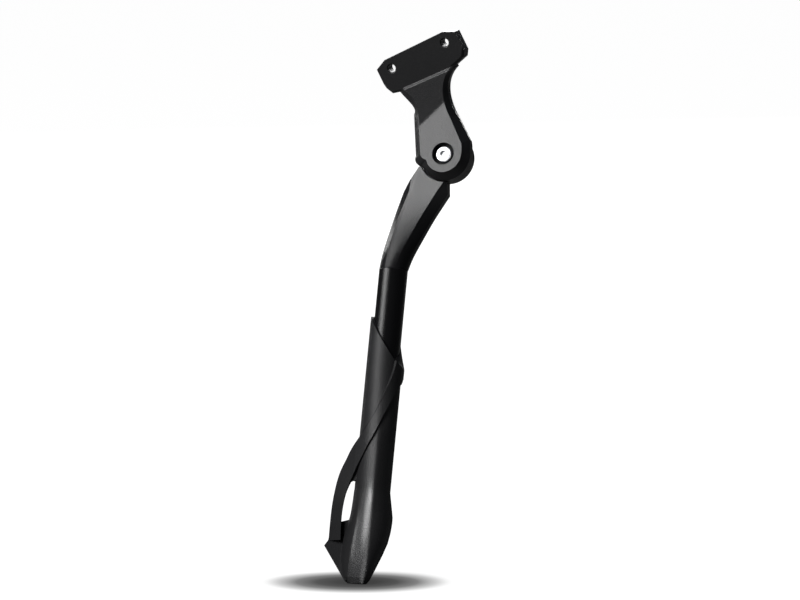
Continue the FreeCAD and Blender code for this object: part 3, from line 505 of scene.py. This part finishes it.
def painted_foot_highlights(tree, across, height):
    """Painted highlights: the even gloss, which grows a little going down, with the three streaks of painted
    highlight added.
    """
    glow = between(tree, smooth(tree, height, *HIGHLIGHT_GAIN_HEIGHTS), *SLEEVE_HIGHLIGHT_GAIN)
    for line, strength in ((MAIN_HIGHLIGHT_STREAK, MAIN_HIGHLIGHT_GAIN), (LEFT_HIGHLIGHT_STREAK, LEFT_HIGHLIGHT_GAIN), (TOE_HIGHLIGHT_STREAK, TOE_HIGHLIGHT_GAIN)):
        glow = maths(tree, "MULTIPLY_ADD", painted_highlight_streak(tree, across, height, *line), strength, glow)
    return glow


# Painted shade on the sleeve: the gloss is cut on the loop and ribbon walls, the fin, the left side and along
# the ribbon's upper edge
BODY_HEIGHTS = (-0.150, -0.165)
BODY_RADII = (0.0136, 0.0160)
LOOP_PROUD = (0.0, 0.0008)
LOOP_ACROSS = (-0.003, -0.006)
WALL_FACING = (0.78, 0.5)
WALL_END = (-0.150, -0.140)
LOOP_SHADE_GLOSS = 0.21
FIN_START = (-0.1765, -0.1785)
FIN_SHADE_GLOSS = 0.5
SIDE_ACROSS = (-0.0035, -0.0090)
SIDE_SHADE_GLOSS = 0.6
LINE_MIDDLE = -0.0955
LINE_RISE = 0.0258
LINE_CURL = 0.0096
LINE_WIDTH = (0.0014, 0.0005)
LINE_TOP = (-0.0735, -0.078)
LINE_BOTTOM = (-0.110, -0.107)
LINE_SHADE_GLOSS = 0.15


def ribbon_shade_line(tree, across, depth, height):
    """A mask of painted shade along the ribbon's upper edge, whose height is a curve in the angle from the
    front.

    It is the middle's height, plus the rise times the angle, plus the curl times the angle squared.
    """
    angle = maths(tree, "ARCTAN2", across, product(tree, depth, -1.0))
    edge = maths(tree, "MULTIPLY_ADD", angle, LINE_CURL, LINE_RISE)
    edge = maths(tree, "MULTIPLY_ADD", angle, edge, LINE_MIDDLE)
    line = smooth(tree, maths(tree, "ABSOLUTE", difference(tree, height, edge)), *LINE_WIDTH)
    return product(tree, line, smooth(tree, height, *LINE_TOP), smooth(tree, height, *LINE_BOTTOM))


def foot_form(tree, normal):
    """The smooth front of the sleeve and foot, with painted shade, as cut gloss, on the rim, ribbon walls,
    loop, fin and left side and along the ribbon's upper edge.

    The loop and fin lie outside the body's radius at the left. A wall's normal departs from the way outwards.
    """
    across, depth, height = parts(tree, measured_in(tree, own_place(tree), ROD_FRAME))
    inside = turned_to_rod(tree, to_piece(tree, normal), True)
    bent = foot_bend(tree, inside, across, height)

    from_axis = joined(tree, across, depth, 0.0)
    body = even(tree, height, *BODY_HEIGHTS, *BODY_RADII)
    loop = smooth(tree, difference(tree, vector_maths(tree, "LENGTH", from_axis), body), *LOOP_PROUD)
    loop = product(tree, loop, smooth(tree, across, *LOOP_ACROSS))
    radial = vector_maths(tree, "DOT_PRODUCT", vector_maths(tree, "NORMALIZE", from_axis), inside)
    wall = product(tree, smooth(tree, radial, *WALL_FACING), smooth(tree, height, *WALL_END))
    fin = product(tree, loop, smooth(tree, height, *FIN_START))
    side = product(tree, smooth(tree, across, *SIDE_ACROSS), rest_of(tree, loop))
    # The gloss carries the painted highlights and the painted shade
    gloss = product(
        tree,
        painted_foot_highlights(tree, across, height),
        between(tree, maths(tree, "MAXIMUM", loop, wall), 1.0, LOOP_SHADE_GLOSS),
        between(tree, fin, 1.0, FIN_SHADE_GLOSS),
        between(tree, side, 1.0, SIDE_SHADE_GLOSS),
        between(tree, ribbon_shade_line(tree, across, depth, height), 1.0, LINE_SHADE_GLOSS),
    )
    return to_world(tree, turned_to_rod(tree, bent, False)), gloss


# Materials: dark and light tones of the grain, the tone of worn edges, which on the forged alloy is also a
# painted edge highlight, and the finish

BLOTCH_SHARE = 0.3
WEAR_AND_HIGHLIGHT_START = 0.25


def finish(
    name,
    dark,
    light,
    wear_and_highlight,
    roughness,
    variation=0.1,
    metallic=0.0,
    grain=FINE_GRAIN,
    depth=GRAIN_DEPTH,
    edge=EDGE_RADIUS,
    specular=0.5,
    form=None,
):
    """A material whose colour and roughness vary with grain and blotches, with its edges a little worn; on the
    forged alloy the lighter edges are also a painted highlight.
    """
    material, tree, shader = new_material(name)
    edges = add_node(tree, "ShaderNodeGroup")
    edges.node_tree = EDGES
    edges.inputs["Radius"].default_value = edge
    normal = edges.outputs["Normal"]
    gloss = None
    if form:
        normal, gloss = form(tree, normal)
    grained = add_node(tree, "ShaderNodeGroup")
    grained.node_tree = GRAIN
    grained.inputs["Scale"].default_value = grain
    grained.inputs["Depth"].default_value = depth
    put(tree, grained.inputs["Normal"], normal)
    mixed = product(tree, grained.outputs["Blotch"], BLOTCH_SHARE)
    mixed = maths(tree, "MULTIPLY_ADD", grained.outputs["Grain"], 1.0 - BLOTCH_SHARE, mixed)
    colour = blend_colour(tree, mixed, rgb(*dark), rgb(*light))
    patches = total(tree, grained.outputs["Blotch"], WEAR_AND_HIGHLIGHT_START)
    patches = maths(tree, "MULTIPLY", edges.outputs["Edge"], patches, clamp=True)
    put(tree, shader.inputs["Base Color"], blend_colour(tree, patches, colour, rgb(*wear_and_highlight)))
    rough = maths(tree, "MULTIPLY_ADD", mixed, variation, roughness - variation / 2)
    put(tree, shader.inputs["Roughness"], rough)
    put(tree, shader.inputs["Normal"], grained.outputs["Normal"])
    shader.inputs["Metallic"].default_value = metallic
    shader.inputs["Specular IOR Level"].default_value = specular
    # A form's gloss factor paints highlights and shade by scaling the specular level
    if gloss is not None:
        put(tree, shader.inputs["Specular IOR Level"], product(tree, gloss, specular))
    return material


def forged(name, specular, form):
    """Black forged alloy; its lighter edges are partly wear and partly painted highlight."""
    dark = (0.004, 0.004, 0.0045)
    light = (0.011, 0.011, 0.012)
    wear_and_highlight = (0.05, 0.05, 0.053)
    return finish(name, dark, light, wear_and_highlight, 0.36, depth=0.4, edge=0.0005, specular=specular, form=form)


def black_tube():
    """Smooth black paint of the tube."""
    dark = (0.003, 0.003, 0.0033)
    light = (0.006, 0.006, 0.0065)
    wear_and_highlight = (0.02, 0.02, 0.021)
    return finish("black_tube", dark, light, wear_and_highlight, 0.22, 0.06, depth=0.3, specular=0.225, form=tube_form)


def black_nylon():
    """Moulded black nylon of the foot sleeve and the plug."""
    dark = (0.013, 0.013, 0.0138)
    light = (0.024, 0.024, 0.025)
    wear_and_highlight = (0.018, 0.018, 0.019)
    return finish("black_nylon", dark, light, wear_and_highlight, 0.38, depth=0.6, specular=0.31, form=foot_form)


def bolt_zinc():
    """Bright, coarse zinc of the pivot screw."""
    dark = (0.5, 0.51, 0.53)
    light = (0.95, 0.95, 0.96)
    wear_and_highlight = (0.85, 0.85, 0.85)
    return finish(
        "bolt_zinc", dark, light, wear_and_highlight, 0.36, 0.3, metallic=1.0, grain=800.0, depth=0.9, form=screw_form
    )


def zinc_steel():
    """Dull zinc of the lock nut."""
    dark = (0.66, 0.67, 0.69)
    light = (0.78, 0.78, 0.79)
    wear_and_highlight = (0.85, 0.85, 0.85)
    return finish("zinc_steel", dark, light, wear_and_highlight, 0.46, 0.3, metallic=1.0, depth=0.3)


def plain_steel():
    """Turned steel of the spacer, washer and plunger."""
    dark = (0.48, 0.48, 0.49)
    light = (0.6, 0.6, 0.6)
    wear_and_highlight = (0.7, 0.7, 0.7)
    return finish("plain_steel", dark, light, wear_and_highlight, 0.3, 0.12, metallic=1.0, depth=0.08)


def spring_steel():
    """Darker steel of the spring and the roll pin."""
    dark = (0.34, 0.34, 0.35)
    light = (0.46, 0.46, 0.46)
    wear_and_highlight = (0.6, 0.6, 0.6)
    return finish("spring_steel", dark, light, wear_and_highlight, 0.3, 0.12, metallic=1.0, depth=0.08)


def dark_steel():
    """Blackened steel of the grub screw."""
    dark = (0.06, 0.06, 0.065)
    light = (0.12, 0.12, 0.125)
    wear_and_highlight = (0.3, 0.3, 0.3)
    return finish("dark_steel", dark, light, wear_and_highlight, 0.38, 0.12, metallic=1.0, depth=0.1)


def acetal():
    """Cream plastic of the thrust washers and the pad."""
    dark = (0.72, 0.71, 0.66)
    light = (0.82, 0.81, 0.77)
    wear_and_highlight = (0.86, 0.86, 0.84)
    return finish("acetal", dark, light, wear_and_highlight, 0.36, depth=0.06)


def brass():
    """Brass of the threaded insert."""
    dark = (0.62, 0.44, 0.17)
    light = (0.75, 0.57, 0.26)
    wear_and_highlight = (0.85, 0.7, 0.4)
    return finish("brass", dark, light, wear_and_highlight, 0.28, 0.12, metallic=1.0, depth=0.08)


# The first three are for single pieces, the rest for the record's material slots
MATERIALS = {
    "mount_bracket": forged("forged_head", 0.53, head_form),
    "leg_arm": forged("forged_arm", 0.57, arm_form),
    "pivot_bolt": bolt_zinc(),
    "black_tube": black_tube(),
    "black_nylon": black_nylon(),
    "zinc_steel": zinc_steel(),
    "plain_steel": plain_steel(),
    "spring_steel": spring_steel(),
    "dark_steel": dark_steel(),
    "acetal": acetal(),
    "brass": brass(),
}

for part in frame["record"]["subparts"]:
    node_name = part["node"]
    key = node_name if node_name in MATERIALS else part["material_slot"]
    piece_materials = frame["nodes"][node_name].data.materials
    piece_materials.clear()
    piece_materials.append(MATERIALS[key])


# Floor, world, lamps and camera

CAMERA_TURN = math.radians(18)
FLOOR_REACH = 6.0
# Painted shadow on the floor, a soft dark ellipse under the foot: its centre, half sizes, fade and tone
PAINTED_SHADOW_CENTRE = (-0.0064, -0.1154)
PAINTED_SHADOW_SIZE = (0.064, 0.031)
PAINTED_SHADOW_FADE = [(0.0, 0.045), (0.2, 0.052), (0.4, 0.08), (0.6, 0.2), (0.78, 0.55), (0.9, 0.86), (1.0, 1.0)]
FLOOR_GLOW = 0.97
PAINTED_SHADOW_TONE = 0.004
FLOOR_TONE = 0.12
AIM = Vector((0.0, -0.05, -0.15))
EYE = Vector((1.0592, -3.3068, 0.5325))
AWAY = Vector((-0.30303, 0.93261, -0.19595))
LENS = 246.2


def seen_or_lit(tree, lit, seen):
    """A shader that the camera sees as one thing while it lights the object as another."""
    choice = add_node(tree, "ShaderNodeMixShader")
    ray = add_node(tree, "ShaderNodeLightPath")
    fill(tree, choice.inputs, (ray.outputs["Is Camera Ray"], lit, seen))
    return choice.outputs[0]


def painted_shadow_mask(tree):
    """Painted shadow: dark near the foot and white away from it, by the distance in an ellipse turned to the
    camera.
    """
    place = add_node(tree, "ShaderNodeMapping", vector_type="TEXTURE")
    put(tree, place.inputs["Vector"], own_place(tree))
    place.inputs["Location"].default_value = (*PAINTED_SHADOW_CENTRE, GROUND)
    place.inputs["Rotation"].default_value = (0.0, 0.0, CAMERA_TURN)
    place.inputs["Scale"].default_value = (*PAINTED_SHADOW_SIZE, 1.0)
    return ramp(tree, vector_maths(tree, "LENGTH", place.outputs["Vector"]), PAINTED_SHADOW_FADE)


def floor():
    """A pale floor with a painted shadow, a soft dark ellipse, under the foot."""
    reach = FLOOR_REACH
    mesh = bpy.data.meshes.new("floor")
    corners = [(-reach, -reach), (reach, -reach), (reach, reach), (-reach, reach)]
    mesh.from_pydata([(*corner, GROUND) for corner in corners], [], [(0, 1, 2, 3)])
    plane = bpy.data.objects.new("floor", mesh)
    scene.collection.objects.link(plane)
    material, tree, shader = new_material("floor")
    painted_shadow = painted_shadow_mask(tree)
    # The painted shadow darkens both the floor's colour and its glow
    put(tree, shader.inputs["Base Color"], blend_colour(tree, painted_shadow, rgb(PAINTED_SHADOW_TONE), rgb(FLOOR_TONE)))
    shader.inputs["Roughness"].default_value = 0.9
    shader.inputs["Specular IOR Level"].default_value = 0.0
    glow = add_node(tree, "ShaderNodeEmission")
    put(tree, glow.inputs["Color"], painted_shadow)
    glow.inputs["Strength"].default_value = FLOOR_GLOW
    both = add_node(tree, "ShaderNodeAddShader")
    fill(tree, both.inputs, (shader.outputs[0], glow.outputs[0]))
    surface = seen_or_lit(tree, shader.outputs[0], both.outputs[0])
    put(tree, tree.nodes["Material Output"].inputs["Surface"], surface)
    mesh.materials.append(material)


def world():
    """White where the camera sees it and dim where it lights the object."""
    background = bpy.data.worlds.new("studio")
    scene.world = background
    background.use_nodes = True
    tree = background.node_tree
    light = tree.nodes["Background"]
    light.inputs["Color"].default_value = rgb(0.9, 0.93, 1.0)
    light.inputs["Strength"].default_value = 0.08
    white = add_node(tree, "ShaderNodeBackground")
    white.inputs["Color"].default_value = rgb(1.0)
    surface = seen_or_lit(tree, light.outputs[0], white.outputs[0])
    put(tree, tree.nodes["World Output"].inputs["Surface"], surface)


def soft_box(name, azimuth, elevation, distance, width, height, power):
    """A rectangular soft light that faces the stand; azimuth 0 is in front and grows to the right."""
    turn = math.radians(azimuth)
    rise = math.radians(elevation)
    way = Vector((math.sin(turn) * math.cos(rise), -math.cos(turn) * math.cos(rise), math.sin(rise)))
    lamp = bpy.data.lights.new(name, "AREA")
    lamp.shape = "RECTANGLE"
    lamp.size = width
    lamp.size_y = height
    lamp.energy = power
    holder = bpy.data.objects.new(name, lamp)
    holder.location = AIM + way * distance
    holder.rotation_euler = (-way).to_track_quat("-Z", "Y").to_euler()
    scene.collection.objects.link(holder)


def camera():
    """The photograph's view."""
    lens = bpy.data.cameras.new("camera")
    lens.sensor_width = 36.0
    lens.lens = LENS
    lens.clip_end = 100.0
    holder = bpy.data.objects.new("camera", lens)
    holder.location = EYE
    holder.rotation_euler = AWAY.to_track_quat("-Z", "Y").to_euler()
    scene.collection.objects.link(holder)
    scene.camera = holder


floor()
world()
soft_box("key", azimuth=-41, elevation=36, distance=1.6, width=0.85, height=0.8, power=34)
soft_box("back", azimuth=205, elevation=14, distance=1.6, width=1.5, height=0.7, power=26)
camera()
scene.view_settings.view_transform = "Standard"
